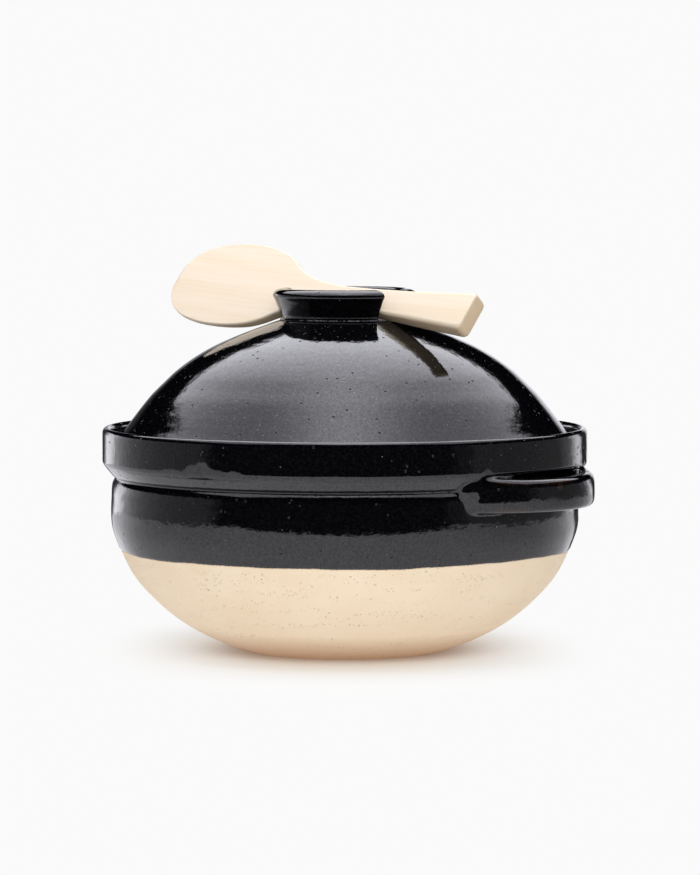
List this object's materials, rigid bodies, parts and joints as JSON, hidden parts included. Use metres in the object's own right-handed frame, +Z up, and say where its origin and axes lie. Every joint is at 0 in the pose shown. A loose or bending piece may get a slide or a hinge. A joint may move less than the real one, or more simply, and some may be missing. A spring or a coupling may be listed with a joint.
{
  "type": "donabe clay rice pot",
  "caption": "Lidded clay pot for cooking rice, with a domed outer lid, a flat inner lid, side handles and a wooden paddle held in the lid's split knob.",
  "frame": {"origin": "centre of the pot's flat foot, on the surface that it stands on", "axes": "+Z up along the axis of the pot and its lids, the two handles along +X and -X"},
  "size_m": [0.2682, 0.24, 0.2007],
  "materials": {
    "glazed_stoneware": "glossy iron black glaze above, bare buff clay below",
    "black_glaze": "glossy iron black glaze with pinholes and faint throwing rings",
    "pale_wood": "sanded pale wood, unvarnished"
  },
  "bodies": {
    "pot": {"pot_body": "glazed_stoneware", "handle_right": "black_glaze", "handle_left": "black_glaze"},
    "inner_lid": {"inner_lid_plate": "black_glaze", "inner_lid_knob": "black_glaze"},
    "outer_lid": {"outer_lid_dome": "black_glaze", "lid_knob_front": "black_glaze", "lid_knob_back": "black_glaze"},
    "paddle": {"rice_paddle": "pale_wood"}
  },
  "joints": [
    {"name": "outer_lid_lift", "type": "slide", "parent": "pot", "child": "outer_lid", "axis": [0, 0, 1], "range_m": [0, 0.24]},
    {"name": "inner_lid_lift", "type": "slide", "parent": "pot", "child": "inner_lid", "axis": [0, 0, 1], "range_m": [0, 0.12]},
    {"name": "paddle_lift", "type": "slide", "parent": "outer_lid", "child": "paddle", "axis": [0, 0, 1], "range_m": [0, 0.08]}
  ],
  "couplings": [
    {"joint": "inner_lid_lift", "follows": "outer_lid_lift", "ratio": 0.5}
  ]
}
